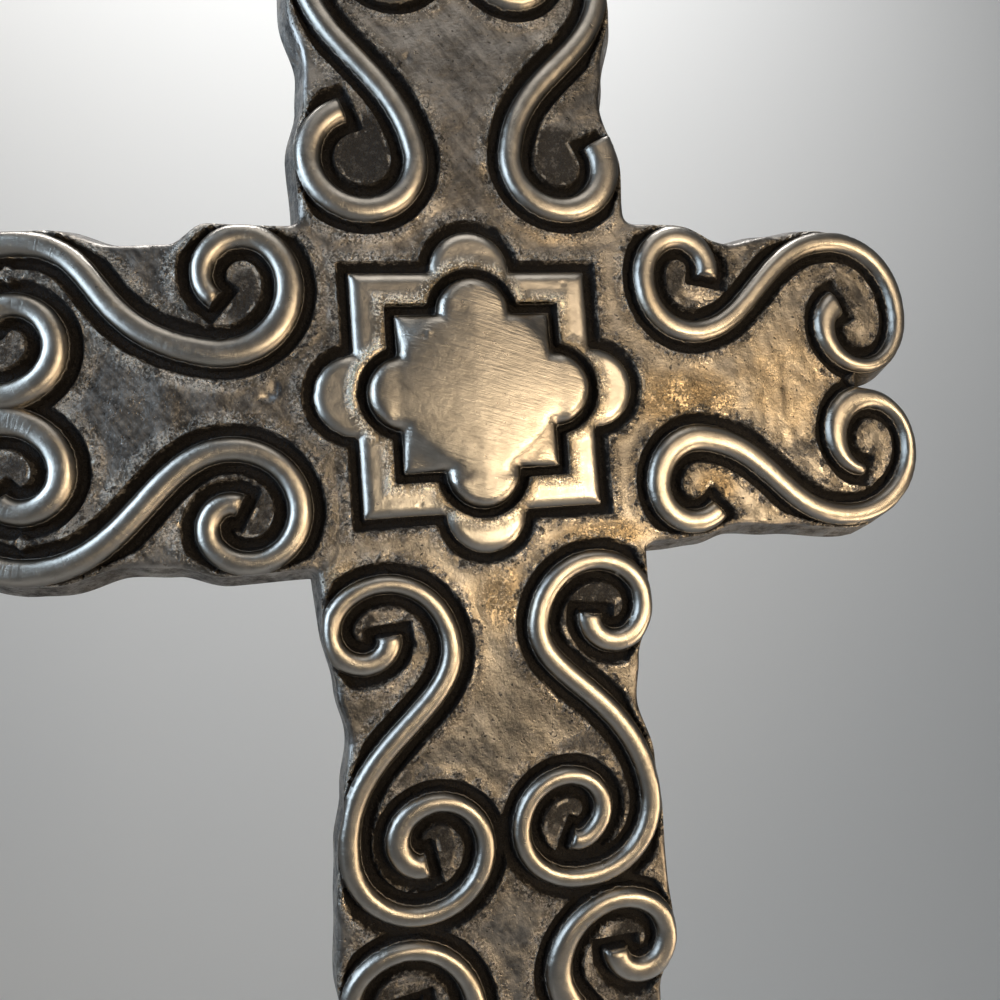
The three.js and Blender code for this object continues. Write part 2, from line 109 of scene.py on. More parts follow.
# Scrolls, in thousandths of the height. A hook and a loop are spirals: eye, start angle and
# sweep in degrees, radii spread evenly over the sweep. reach is the length of the joining
# bend's handles as a share of its span, and widths run from the hook's end to the loop's.
# The two scrolls down the foot's left side share their widths.
LEFT_WIDTHS = (
    16.9, 15.4, 14.2, 13.5, 14.2, 15.2, 15.7, 15.4, 15.0, 14.6, 14.4, 14.2, 14.0, 13.8, 16.6, 17.0
)
SCROLLS = {
    "top_left": {
        "hook": ((-68.9, 165.9), 12, -262, (36.6, 36.6, 37.4, 35.2)),
        "loop": ((-45.0, 315.0), 190, -400, (59.6, 47.8, 34.3, 28.1, 16.9)),
        "reach": (0.42, 0.42),
        "widths": (17.5, 18.4, 17.3, 16.8, 16.3, 16.0, 15.7, 15.4, 15.2),
    },
    "top_right": {
        "hook": ((71.7, 166.8), 172, 214, (36.0, 36.0, 36.6, 34.0)),
        "loop": ((50.6, 315.0), -10, 400, (62.4, 47.8, 34.9, 28.1, 16.9)),
        "reach": (0.42, 0.42),
        "widths": (23.5, 18.5, 17.2, 16.7, 16.3, 16.0, 15.7, 15.4, 15.2),
    },
    "left_top": {
        "hook": ((-158.9, 81.6), -112, 341, (52.9, 37.7, 31.5, 22.2, 18.8)),
        "loop": (("-eye", 45.0), 80, 400, (60.5, 42.7, 36.6, 28.1, 15.5)),
        "reach": (0.6, 0.42),
        "widths": (14.1, 19.7, 16.3, 18.6, 15.2),
    },
    "left_bottom": {
        "hook": ((-161.7, -78.7), 104, -364, (47.8, 37.1, 29.8, 23.6, 9.0)),
        "loop": (("-eye", -45.0), -80, -400, (59.1, 42.2, 36.6, 28.1, 15.5)),
        "reach": (0.32, 0.42),
        "widths": (15.7, 16.9, 16.9, 19.1, 16.9),
    },
    "right_top": {
        "hook": ((160.3, 78.7), -72, -284, (41.1, 29.8, 32.1, 20.5)),
        "loop": (("eye", 46.4), 104, -330, (63.0, 42.5, 39.8, 27.0, 17.0)),
        "reach": (0.34, 0.42),
        "widths": (16.9, 16.9, 16.9, 16.3, 15.7, 15.5, 14.0, 12.0, 21.0),
    },
    "right_bottom": {
        "hook": ((160.3, -73.1), 78, 228, (33.2, 30.4, 30.9, 26.2)),
        "loop": (("eye", -45.0), -104, 372, (62.4, 41.6, 29.6, 21.6, 27.0)),
        "reach": (0.42, 0.42),
        "widths": (16.9, 18.5, 20.2, 18.0, 16.9, 16.0, 11.5, 21.0, 9.0),
    },
    "lower_left": {
        "hook": ((-85.8, -163.1), 0, 356, (53.4, 32.9, 25.6, 18.3, 12.7)),
        "loop": ((-60.5, -306.5), 180, 462, (47.8, 45.0, 42.5, 24.5, 15.0, 13.0)),
        "reach": (0.36, 0.47),
        "widths": LEFT_WIDTHS,
    },
    "lower_right": {
        "hook": ((84.4, -161.7), 180, -360, (52.6, 36.3, 25.6, 20.8, 15.2)),
        "loop": ((49.2, -306.5), 22, -502, (58.5, 38.0, 41.1, 31.5, 13.5, 11.6)),
        "reach": (0.3, 0.5),
        "widths": (18.0, 15.2, 16.9, 15.2, 13.5, 14.1),
    },
    "foot_left": {
        "hook": ((-87.2, -407.8), 0, 356, (54.0, 34.0, 27.0, 19.1, 12.7)),
        "loop": ((-59.1, -554.0), 180, 462, (47.8, 56.2, 42.5, 24.5, 15.0, 13.0)),
        "reach": (0.36, 0.47),
        "widths": LEFT_WIDTHS,
    },
    "foot_right": {
        "hook": (
            (84.4, -395.1), 180, -356, (55.0, 40.0, 31.2, 27.0, 23.6, 21.2, 19.1, 17.2, 15.2)
        ),
        "loop": ((50.6, -548.4), 18, -508, (58.5, 59.6, 41.1, 32.9, 13.5, 11.0)),
        "reach": (0.3, 0.5),
        "widths": (18.0, 16.3, 15.0, 20.0, 17.5, 16.0, 15.2, 14.3, 13.5, 13.5, 14.1),
    },
}

# Rosette outlines in mm: half side of the square, radius of the lobes, reach of the lobes'
# tips to the right, top, left and bottom, width of the groove outside.
BAND = {"half": 30.0, "lobe": 10.0, "reach": (40.4, 40.4, 40.0, 40.2), "groove": 3.0}
PILLOW = {"half": 19.6, "lobe": 9.4, "reach": (29.0, 28.7, 27.4, 29.3), "groove": 2.4}

# The pillow's top in mm. Its plateau is a diamond of this power and reach, which leans up;
# outside it the square's corners drop over a length, past an eased edge. The drop ends at
# the lobes. The plateau falls off with the square of the distance, to a round shoulder.
DIAMOND = {"power": 1.08, "reach": 26.6, "lean": 0.09, "drop": 2.5, "length": 6.5, "ease": 2.0}
LOBE_FROM, LOBE_EASE = 18.8, 4.0
DOME_FALL = 0.0007
SHOULDER = {"width": 3.3, "power": 2.4}

# A bar's top: powers of its round across, then length and drop of its worn tips
BAR_TOP = {"across": 2.3, "round": 0.6, "tip": 0.9, "tip_drop": 0.45}

# The band's top: width and power of its outer slope, width and drop of its inner slope
BAND_TOP = {"outer": 2.4, "power": 1.6, "inner": 0.8, "inner_drop": 0.25}

# Waves of the ground in mm: height, cell of the lattice, seed
SWELLS = [(0.16, 9.0, 3), (0.1, 4.1, 5), (0.05, 1.7, 8)]
FLOOR_WAVE = (0.12, 1.3, 11)

# Upright ridges of the ground: height, cell, seed, squeeze along the height, and the share
# of the height that is left away from the right arm. The right arm's share grows from a
# distance over a length.
RIDGES = [(0.24, 5.2, 17, 0.32, 0.3), (0.17, 2.3, 23, 0.28, 0.0)]
RIGHT_FROM, RIGHT_EASE = 35, 20

# The side wall's steps back as shares of its depth, and how dark it is
WALL_STEPS = (0.12, 0.4, 0.7, 1.0)
WALL_DARK = 0.45
SHARP_ANGLE = 58

# Dark, pitted places in the ground: centre and radii in mm, strength from 0 to 1
DARK_PLACES = [
    (-25.0, 60.0, 13.0, 14.0, 1.0), (24.0, 59.5, 12.0, 12.0, 0.95),
    (-54.0, 24.0, 8.0, 10.0, 0.75), (-54.5, -27.0, 8.0, 10.0, 0.75),
    (-34.5, -57.0, 8.5, 9.0, 0.8), (26.0, -54.0, 11.0, 8.0, 0.8),
    (-19.0, -108.0, 8.0, 9.0, 0.8), (13.5, -106.0, 8.0, 9.0, 0.8),
    (-33.0, -146.0, 9.0, 9.0, 0.8), (29.0, -141.0, 9.0, 9.0, 0.8), (53.0, 29.0, 7.0, 8.0, 0.6),
    (101.0, 20.0, 8.0, 9.0, 0.6), (-22.0, -92.0, 9.0, 4.5, 0.5), (20.0, -90.0, 10.0, 4.5, 0.42),
    (89.0, -19.0, 7.0, 4.0, 0.42), (-31.0, 76.0, 5.0, 4.0, 0.5), (-103.0, 14.0, 9.0, 9.0, 0.6),
    (-103.0, -14.0, 9.0, 9.0, 0.6), (103.0, -14.0, 8.0, 8.0, 0.5),
    (-16.0, 112.0, 9.0, 9.0, 0.7), (18.0, 112.0, 9.0, 9.0, 0.7), (-20.0, -197.0, 9.0, 9.0, 0.7),
    (17.0, -195.0, 9.0, 9.0, 0.7),
]

# Places where the ground is painted a warmer, brighter colour: partly rubbed, golden-tarnished
# metal, partly a painted warm sheen and highlight where the lamps' reflection falls
TARNISH_AND_SHEEN_PLACES = [
    (56.0, -4.0, 26.0, 13.0, 0.85), (86.0, 0.0, 30.0, 26.0, 0.55), (62.0, -28.0, 9.0, 9.0, 0.8),
    (30.0, -38.0, 22.0, 7.0, 0.85), (2.0, -52.0, 13.0, 15.0, 0.78),
    (-36.0, -43.0, 8.0, 7.0, 0.7), (20.0, 41.0, 24.0, 6.0, 0.5), (48.0, 20.0, 7.0, 16.0, 0.4),
]

# Dents and chips: centre, radii and depth in mm; the depth fades out up to DENT_EDGE radii
DENT_EDGE = 1.25
DENTS = [
    (-50.5, 0.5, 1.6, 1.0, 0.7), (-48.8, 2.4, 1.0, 2.2, 0.35), (6.2, 55.0, 1.6, 3.6, 0.9),
    (7.6, 61.5, 1.1, 2.4, 0.5), (90.5, -17.0, 3.2, 2.0, 0.5), (-27.0, 91.5, 1.8, 1.2, 0.5),
    (-12.0, 84.5, 1.0, 1.6, 0.35), (11.5, -34.8, 0.9, 0.9, 0.5),
    (-16.5, -27.3, 0.55, 0.55, 0.45), (-9.5, -24.0, 0.5, 0.5, 0.4),
    (-6.0, -49.0, 10.0, 16.0, 0.5), (-11.7, 14.4, 0.9, 0.7, -0.4), (-12.6, 13.6, 0.7, 0.6, 0.3),
    (24.0, 27.0, 0.9, 0.6, 0.25), (31.0, 1.5, 0.7, 1.6, 0.3), (33.0, -1.2, 0.9, 0.8, 0.3),
]


# Curves in plan


def smooth_values(values, t):
    """Catmull-Rom curve through evenly spaced values, read at t from 0 to 1."""
    v = np.asarray(values, float)
    last = len(v) - 1
    padded = np.concatenate([[2 * v[0] - v[1]], v, [2 * v[-1] - v[-2]]])
    place = np.clip(t, 0, 1) * last
    i = np.minimum(place.astype(int), last - 1)
    f = place - i
    a, b, c, d = (padded[i + k] for k in range(4))
    bend = (2 * a - 5 * b + 4 * c - d) * f**2
    twist = (3 * b - a - 3 * c + d) * f**3
    return 0.5 * (2 * b + (c - a) * f + bend + twist)


def spiral_points(spiral, eye_x, unit):
    """Points of a spiral: eye plus radius times (cos, sin) of start plus sweep times t."""
    (x, z), start, sweep, radii = spiral
    x = {"eye": eye_x, "-eye": -eye_x}.get(x, x)
    t = np.linspace(0, 1, SPIRAL_POINTS)
    angle = np.radians(start + sweep * t)
    radius = smooth_values(radii, t)
    return np.stack([x + radius * np.cos(angle), z + radius * np.sin(angle)], -1) * unit


def unit_rows(v):
    """Each row divided by its length."""
    return v / np.maximum(np.linalg.norm(v, axis=-1, keepdims=True), 1e-12)


def scroll_line(scroll, eye_x, unit, step=0.5):
    """Centre line of a scroll at even steps, with its half width and its length so far.

    The hook's spiral runs backward, then a cubic bend with a handle at each end, then the
    loop's spiral.
    """
    hook = spiral_points(scroll["hook"], eye_x, unit)
    loop = spiral_points(scroll["loop"], eye_x, unit)
    span = np.linalg.norm(loop[0] - hook[0])
    out_of_hook = hook[0] + unit_rows(hook[0] - hook[1]) * span * scroll["reach"][0]
    into_loop = loop[0] - unit_rows(loop[1] - loop[0]) * span * scroll["reach"][1]
    t = np.linspace(0, 1, BEND_POINTS)[1:-1, None]
    bend = (
        hook[0] * (1 - t) ** 3
        + 3 * out_of_hook * t * (1 - t) ** 2
        + 3 * into_loop * t**2 * (1 - t)
        + loop[0] * t**3
    )
    raw = np.concatenate([hook[::-1], bend, loop])
    length = np.concatenate([[0], np.cumsum(np.linalg.norm(np.diff(raw, axis=0), axis=1))])
    even = np.linspace(0, length[-1], int(length[-1] / step))
    line = np.stack([np.interp(even, length, raw[:, k]) for k in (0, 1)], -1)
    half = smooth_values(scroll["widths"], even / length[-1]) * unit / 2
    return line, half, even


def edge_points(stations, eye_x, unit, step=1.2):
    """(distance along, half width) down an arm's edge, eased by a cosine between stations."""
    rows = np.array([[eye_x if a == "eye" else a, w] for a, w in stations], float) * unit
    along = np.linspace(rows[0, 0], rows[-1, 0], int((rows[-1, 0] - rows[0, 0]) / step))
    i = np.clip(np.searchsorted(rows[:, 0], along) - 1, 0, len(rows) - 2)
    t = (along - rows[i, 0]) / (rows[i + 1, 0] - rows[i, 0])
    ease = (1 - np.cos(np.pi * np.clip(t, 0, 1))) / 2
    return along, rows[i, 1] + (rows[i + 1, 1] - rows[i, 1]) * ease


def body_outline(eye_x, unit, corner_radius):
    """Front outline of the arms and the crossing, as a closed ring in plan."""
    e = {name: edge_points(rows, eye_x, unit) for name, rows in ARM_EDGES.items()}

    def place(name, along_x, along_sign, side_sign):
        along, half = e[name]
        pair = (along * along_sign, half * side_sign)
        return np.stack(pair if along_x else pair[::-1], -1)

    sides = [
        (place("right_bottom", True, 1, -1), place("right_top", True, 1, 1)[::-1]),
        (place("top_right", False, 1, 1), place("top_left", False, 1, -1)[::-1]),
        (place("left_top", True, -1, 1), place("left_bottom", True, -1, -1)[::-1]),
        (place("bottom_left", False, -1, -1), place("bottom_right", False, -1, 1)[::-1]),
    ]
    t = np.linspace(0, 1, CORNER_POINTS)[:, None]
    ring = []
    for i, (going, coming) in enumerate(sides):
        last, first = coming[-1], sides[(i + 1) % 4][0][0]
        meet = np.array([first[0], last[1]] if i % 2 == 0 else [last[0], first[1]])
        start = meet + unit_rows(last - meet) * corner_radius
        end = meet + unit_rows(first - meet) * corner_radius
        corner = start * (1 - t) ** 2 + 2 * meet * t * (1 - t) + end * t**2
        ring += [going, coming, corner]
    return np.concatenate(ring)


def loop_rim(scroll, eye_x, unit):
    """Outer rim of a scroll's end loop: its first turn, half a bar's width outward."""
    loop = spiral_points(scroll["loop"], eye_x, unit)
    sweep = scroll["loop"][2]
    count = int(len(loop) * min(RIM_TURN / abs(sweep), 1))
    way = unit_rows(np.gradient(loop, axis=0))
    side = np.stack([-way[:, 1], way[:, 0]], -1) * -np.sign(sweep)
    along = np.linspace(LOOP_START, 1, len(loop))
    half = smooth_values(scroll["widths"], along) * unit / 2
    return (loop + side * half[:, None])[:count]


# Distances in plan


def near_blocks(points, line, margin):
    """Indices of the points in a line's box grown by a margin, in blocks."""
    low, high = line.min(0) - margin, line.max(0) + margin
    near = np.flatnonzero(((points > low) & (points < high)).all(1))
    return np.array_split(near, max(len(near) // BLOCK, 1))


def ring_distance(points, ring, margin=6):
    """Signed distance to a closed ring, below zero inside it.

    Outside the ring's box grown by the margin it is only a large positive number.
    """
    result = np.full(len(points), FAR)
    a, b = ring, np.roll(ring, -1, axis=0)
    ab = b - a
    size = np.maximum((ab**2).sum(1), 1e-12)
    for block in near_blocks(points, ring, margin):
        p = points[block][:, None, :]
        t = np.clip(((p - a) * ab).sum(2) / size, 0, 1)
        gap = p - a - t[..., None] * ab
        d = np.sqrt((gap**2).sum(2).min(1))
        above = (a[:, 1] > p[..., 1]) != (b[:, 1] > p[..., 1])
        rise = np.where(np.abs(ab[:, 1]) < 1e-12, 1e-12, ab[:, 1])
        cross = p[..., 0] < a[:, 0] + (p[..., 1] - a[:, 1]) * ab[:, 0] / rise
        inside = (above & cross).sum(1) % 2 == 1
        result[block] = np.where(inside, -d, d)
    return result


def bar_distance(points, line, half, length, margin=12, past_cut=0.5, cut_half=0.3):
    """Distance outside a bar's foot, the same to its sides alone, and the length run along it.

    Beside the bar it is the distance to the centre line less the half width, so below zero
    inside. At the cut ends it is the distance to a square end, a box twice cut_half deep, so
    that the groove there has square corners; the second value leaves the ends out.
    """
    u = np.full(len(points), FAR)
    side = np.full(len(points), FAR)
    run = np.zeros(len(points))
    for block in near_blocks(points, line, margin):
        p = points[block]
        square = (p**2).sum(1)[:, None] - 2 * p @ line.T + (line**2).sum(1)
        k = np.clip(square.argmin(1), 1, len(line) - 2)
        best = np.full(len(p), np.inf)
        where = np.zeros(len(p))
        beyond = np.zeros(len(p), bool)
        for first in (k - 1, k):
            a, ab = line[first], line[first + 1] - line[first]
            t = ((p - a) * ab).sum(1) / (ab**2).sum(1)
            past = ((first == 0) & (t < 0)) | ((first == len(line) - 2) & (t > 1))
            t = np.clip(t, 0, 1)
            d = np.linalg.norm(p - a - ab * t[:, None], axis=1)
            closer = d < best
            best = np.where(closer, d, best)
            where = np.where(closer, first + t, where)
            beyond = np.where(closer, past, beyond)
        index = np.arange(len(line))
        beside = np.where(beyond, FAR, best - np.interp(where, index, half))
        out = beside.copy()
        along_bar = np.interp(where, index, length)
        for end, before, width, from_end in (
            (line[0], line[2], half[0], along_bar),
            (line[-1], line[-3], half[-1], length[-1] - along_bar),
        ):
            way = unit_rows(end - before)
            along = (p - end) @ way
            across = np.abs((p - end) @ np.array([-way[1], way[0]])) - width
            out = np.where(from_end < width + past_cut, np.maximum(out, along), out)
            box = np.maximum(np.abs(along + cut_half) - cut_half, across)
            beside = np.where(box < out, across, beside)
            out = np.minimum(out, box)
        u[block], side[block], run[block] = out, beside, along_bar
    return u, side, run


def rosette_distance(points, size):
    """Distance outside a square with a round lobe on each side, below zero inside it."""
    x, z = points[:, 0], points[:, 1]
    d = np.maximum(np.abs(x), np.abs(z)) - size["half"]
    turns = ((1, 0), (0, 1), (-1, 0), (0, -1))
    for reach, (ux, uz) in zip(size["reach"], turns):
        centre = reach - size["lobe"]
        d = np.minimum(d, np.hypot(x - ux * centre, z - uz * centre) - size["lobe"])
    return d


# Surface


def ease(t):
    """Smooth step from 0 to 1."""
    t = np.clip(t, 0, 1)
    return t * t * (3 - 2 * t)


def lattice_noise(points, cell, seed, side=64):
    """Smooth noise from -1 to 1: random values on a square lattice, eased between them."""
    rng = np.random.default_rng(seed)
    table = rng.uniform(-1, 1, (side, side))
    q = points / cell
    i = np.floor(q).astype(int)
    f = ease(q - i)
    i0, j0 = i[:, 0] % side, i[:, 1] % side
    i1, j1 = (i0 + 1) % side, (j0 + 1) % side
    low = table[i0, j0] * (1 - f[:, 0]) + table[i1, j0] * f[:, 0]
    high = table[i0, j1] * (1 - f[:, 0]) + table[i1, j1] * f[:, 0]
    return low * (1 - f[:, 1]) + high * f[:, 1]


def spots(points, places, softness):
    """Largest of several soft elliptical spots, each from 0 outside to its strength."""
    value = np.zeros(len(points))
    for x, z, rx, rz, strength in places:
        r = np.hypot((points[:, 0] - x) / rx, (points[:, 1] - z) / rz)
        value = np.maximum(value, strength * ease((1 - r) / softness))
    return value


class Relief:
    """The cross in plan: its outline, its bars and its rosette, as distances and levels.

    Plan sizes are in mm from the rosette's centre; levels are in mm forward of the back.
    """

    def __init__(self, size, surface):
        self.size = size
        self.surface = surface
        unit = size.height / MM / 1000
        eye_x = (size.width / MM / 2 - size.side_eye_inset / MM) / unit
        self.lines = [scroll_line(s, eye_x, unit) for s in SCROLLS.values()]
        self.rings = [body_outline(eye_x, unit, size.corner_radius / MM)]
        self.rings += [loop_rim(s, eye_x, unit) for s in SCROLLS.values()]

    def outline(self, points):
        """Distance outside the front outline: the least of those to the arms and rims."""
        d = np.full(len(points), FAR)
        for ring in self.rings:
            d = np.minimum(d, ring_distance(points, ring))
        return d

    def steepest(self, points, step=0.05):
        """Unit rows along which the distance outside the outline grows."""
        slope = [self.outline(points + to) - self.outline(points - to) for to in step * np.eye(2)]
        return unit_rows(np.stack(slope, -1))

    def features(self, points, edge):
        """For every raised feature: distance outside its foot, the same to its sides alone,
        run along it, and distance outside its groove's rim.

        The groove has its own width, but where a bar nears the outline it ends half way.
        """
        groove = self.size.groove_width / MM
        found = [(*bar_distance(points, *line), groove) for line in self.lines]
        zero = np.zeros(len(points))
        band = rosette_distance(points, BAND)
        pillow = rosette_distance(points, PILLOW)
        ring = np.maximum(band, PILLOW["groove"] - pillow)
        found.append((ring, ring, zero, BAND["groove"]))
        found.append((pillow, pillow, zero, PILLOW["groove"]))
        return [
            (u, side, run, np.maximum(u - width, u + edge)) for u, side, run, width in found
        ]

    def ground(self, points):
        """Level of the ground: hammered swells, casting grain, and upright ridges that are
        strongest on the right arm."""
        relief = sum(high * lattice_noise(points, cell, seed) for high, cell, seed in SWELLS)
        right = ease((points[:, 0] - RIGHT_FROM) / RIGHT_EASE)
        for high, cell, seed, squeeze, left in RIDGES:
            wave = high * lattice_noise(points * (1.0, squeeze), cell, seed)
            relief = relief + wave * (left + (1 - left) * right)
        return self.size.ground_level / MM + relief * self.surface.swell

    def dents(self, points):
        """Depth of the named dents and chips, each a soft ellipse; nibs are below zero."""
        depth = np.zeros(len(points))
        for x, z, rx, rz, middle in DENTS:
            r = np.hypot((points[:, 0] - x) / rx, (points[:, 1] - z) / rz)
            depth += middle * ease(DENT_EDGE - r)
        return depth

    def pillow_level(self, points, u):
        """Level of the pillow: a diamond-shaped plateau that reaches into the lobes.

        Beyond the diamond's sides the square's corners slope down as lower facets, and a
        round shoulder runs along the whole edge.
        """
        size = self.size
        edge, crest = size.pillow_edge_level / MM, size.pillow_crest_level / MM
        x, z = np.abs(points).T
        power = DIAMOND["power"]
        diamond = (x**power + z**power) ** (1 / power)
        past = diamond - DIAMOND["reach"] - DIAMOND["lean"] * points[:, 1]
        eased = past + np.hypot(past, DIAMOND["ease"])
        facet = DIAMOND["drop"] * (1 - np.exp(-eased / DIAMOND["length"]))
        off_lobes = 1 - ease((np.maximum(x, z) - LOBE_FROM) / LOBE_EASE)
        dome = crest - DOME_FALL * diamond**2 - facet * off_lobes
        inner = np.clip(-u / SHOULDER["width"], 0, 1)
        return edge + (dome - edge) * np.sqrt(1 - (1 - inner) ** SHOULDER["power"])

    def band_level(self, points, u):
        """Level of the rosette's band: a sloping outer edge, a flat and a lower inner edge."""
        low, high = self.size.band_edge_level / MM, self.size.band_level / MM
        outer = np.clip(1 + rosette_distance(points, BAND) / BAND_TOP["outer"], 0, 1)
        inner = np.clip(1 + u / BAND_TOP["inner"], 0, 1)
        flat = high - (high - low) * outer ** BAND_TOP["power"]
        return flat - BAND_TOP["inner_drop"] * inner**2

    def grooved_ground(self, points, found):
        """Level of the ground with the groove of every feature cut into it."""
        ground = self.ground(points)
        slope = self.size.groove_slope / MM
        high, cell, seed = FLOOR_WAVE
        floor = self.size.floor_level / MM + high * lattice_noise(points, cell, seed)
        level = ground
        for _, _, _, outside in found:
            cut = floor + (ground - floor) * ease(1 + outside / slope)
            level = np.minimum(level, cut)
        return level

    def with_bars(self, level, found):
        """The level with the bars standing on it, distance outside the nearest bar's foot,
        and the length run along that bar."""
        side, top = self.size.bar_side_level / MM, self.size.bar_crest_level / MM
        foot = np.full(len(level), FAR)
        run = np.zeros(len(level))
        for (u, beside, length, _), line in zip(found, self.lines):
            half = np.interp(length, line[2], line[1])
            t = np.clip(1 + beside / half, 0, 1)
            from_end = np.minimum(length, line[2][-1] - length)
            tip = np.clip(1 - from_end / BAR_TOP["tip"], 0, 1)
            bulge = (1 - t ** BAR_TOP["across"]) * (1 - BAR_TOP["tip_drop"] * tip**2)
            bar = side + (top - side) * bulge ** BAR_TOP["round"]
            level = np.where(u < ON_EDGE, np.maximum(level, bar), level)
            run = np.where(u < foot, length, run)
            foot = np.minimum(foot, u)
        return level, foot, run

    def levels(self, points):
        """Level and the fields that colour the metal, at every point."""
        edge = self.outline(points)
        found = self.features(points, edge)
        band, pillow = found[-2][0], found[-1][0]
        level, foot, run = self.with_bars(self.grooved_ground(points, found), found[:-2])
        level = np.where(band < ON_EDGE, self.band_level(points, band), level)
        level = np.where(pillow < ON_EDGE, self.pillow_level(points, pillow), level)
        level = level - self.dents(points)
        worn = np.clip(1 + edge / self.size.rim_round * MM, 0, 1)
        level = level - self.size.rim_round / MM / 2 * (1 - np.sqrt(1 - worn**2))
        return {
            "level": level,
            "foot": np.minimum(foot, np.minimum(band, pillow)),
            "rim": np.minimum(FAR, np.min([outside for *_, outside in found], 0)),
            "run": run,
            "band": band,
            "pillow": pillow,
            "dark": spots(points, DARK_PLACES, 0.5),
            "warm": spots(points, TARNISH_AND_SHEEN_PLACES, 0.8),
        }


# Mesh

# Passes that drop cells which meet another at a corner only, and slides onto the outline
PINCH_PASSES = 8
RIM_SLIDES = 3


def kept_cells(corner):
    """Cells whose middle is inside the outline, from the distance at every corner.

    Those that would meet another at a corner only are left out.
    """
    middle = (corner[:-1, :-1] + corner[1:, :-1] + corner[:-1, 1:] + corner[1:, 1:]) / 4
    keep = middle < 0
    for _ in range(PINCH_PASSES):
        a, b, c, d = keep[:-1, :-1], keep[1:, :-1], keep[:-1, 1:], keep[1:, 1:]
        pinch = (a & d & ~b & ~c) | (b & c & ~a & ~d)
        keep[:-1, :-1] &= ~pinch
        keep[1:, :-1] &= ~pinch
    return keep


def front_grid(relief, cell, snap=0.45):
    """Nodes and kept cells of the front, with nodes drawn onto feet, rims and the outline.

    A square grid in plan. A node closer than the snap share of a cell to a feature's foot,
    or to its groove's rim, slides onto that line down the slope of the distance. The nodes
    on the border of the kept cells slide onto the outline.
    """
    low = np.min([ring.min(0) for ring in relief.rings], 0) - 2 * cell
    high = np.max([ring.max(0) for ring in relief.rings], 0) + 2 * cell
    x = np.arange(low[0], high[0], cell)
    z = np.arange(low[1], high[1], cell)
    grid = np.stack(np.meshgrid(x, z, indexing="ij"), -1)
    shape = grid.shape[:2]
    points = grid.reshape(-1, 2)
    edge = relief.outline(points)
    near = edge < 2 * cell
    fields = np.full((2, len(points)), FAR)
    for u, _, _, outside in relief.features(points[near], edge[near]):
        fields[0, near] = np.minimum(fields[0, near], u)
        fields[1, near] = np.minimum(fields[1, near], outside)
    moved = points.copy()
    free = np.ones(len(points), bool)
    for field in fields:
        slope = np.gradient(field.reshape(shape), cell)
        slope = unit_rows(np.stack(slope, -1).reshape(-1, 2))
        pick = free & (np.abs(field) < snap * cell)
        moved[pick] -= field[pick, None] * slope[pick]
        free &= ~pick
    number = np.arange(len(points)).reshape(shape)
    cells = [number[:-1, :-1], number[1:, :-1], number[1:, 1:], number[:-1, 1:]]
    quads = np.stack(cells, -1)[kept_cells(edge.reshape(shape))]
    used, quads = np.unique(quads, return_inverse=True)
    quads = quads.reshape(-1, 4)
    moved = moved[used]
    rim = border_edges(quads)
    onto = np.unique(rim)
    moved[onto] = points[used][onto]
    for _ in range(RIM_SLIDES):
        moved[onto] -= relief.outline(moved[onto])[:, None] * relief.steepest(moved[onto])
    return moved, quads, rim


def border_edges(quads):
    """Directed sides of the quads that no neighbour shares."""
    sides = np.concatenate([quads[:, [k, (k + 1) % 4]] for k in range(4)])
    count = quads.max() + 1
    key = sides[:, 0] * count + sides[:, 1]
    back = sides[:, 1] * count + sides[:, 0]
    return sides[~np.isin(key, back)]


def split_quads(quads, level):
    """Two triangles to each quad, cut along the diagonal with the smaller step in level."""
    a, b, c, d = quads.T
    first = np.abs(level[a] - level[c]) <= np.abs(level[b] - level[d])
    one = np.where(first[:, None], quads[:, [0, 1, 2]], quads[:, [0, 1, 3]])
    two = np.where(first[:, None], quads[:, [0, 2, 3]], quads[:, [1, 2, 3]])
    return np.concatenate([one, two])


def draft_at(size, z):
    """Slope of the side wall in mm: the arms' draft above, the foot's draft below."""
    top, bottom = size.draft_change_top / MM, size.draft_change_bottom / MM
    t = ease((top - z) / (top - bottom))
    return (size.draft_arms + (size.draft_foot - size.draft_arms) * t) / MM


def cross_mesh(relief, cell):
    """The whole closed surface: front relief, drafted side wall and flat back.

    The side wall is the outline carried outward along the distance's slope while it goes
    back, by a share of the draft at each step, with a small chamfer at the back.
    """
    size = relief.size
    plan, quads, rim = front_grid(relief, cell)
    fields = relief.levels(plan)
    triangles = split_quads(quads, fields["level"])
    start, index = np.unique(rim, return_inverse=True)
    index = index.reshape(-1, 2)
    here = plan[start]
    top = fields["level"][start]
    draft = draft_at(size, here[:, 1])
    chamfer = size.back_chamfer / MM
    rows = [plan]
    depths = [fields["level"]]
    numbers = [start]
    gone = 0.0
    total = len(plan)
    for share in WALL_STEPS:
        here = here + relief.steepest(here) * (draft * (share - gone))[:, None]
        gone = share
        rows.append(here)
        depths.append(top + (chamfer - top) * share)
        numbers.append(total + np.arange(len(start)))
        total += len(start)
    rows.append(here - relief.steepest(here) * chamfer)
    depths.append(np.zeros(len(start)))
    numbers.append(total + np.arange(len(start)))
    faces = [triangles]
    for upper, lower in zip(numbers[:-1], numbers[1:]):
        a, b = upper[index[:, 0]], upper[index[:, 1]]
        c, d = lower[index[:, 0]], lower[index[:, 1]]
        faces += [np.stack([b, a, c], -1), np.stack([b, c, d], -1)]
    wall = {name: np.full(len(start), FAR) for name in ("foot", "rim", "band", "pillow")}
    # The side wall is blackened all round, to a share, through the same field as the dark places.
    wall["dark"] = np.full(len(start), WALL_DARK)
    for name in ("run", "warm"):
        wall[name] = fields[name][start]
    count = len(rows) - 1
    values = {name: np.concatenate([fields[name]] + [wall[name]] * count) for name in wall}
    plan = np.concatenate(rows)
    level = np.concatenate(depths)
    place = np.stack([plan[:, 0], -level, plan[:, 1] - size.hang_height / MM], -1) * MM
    return place, np.concatenate(faces), values


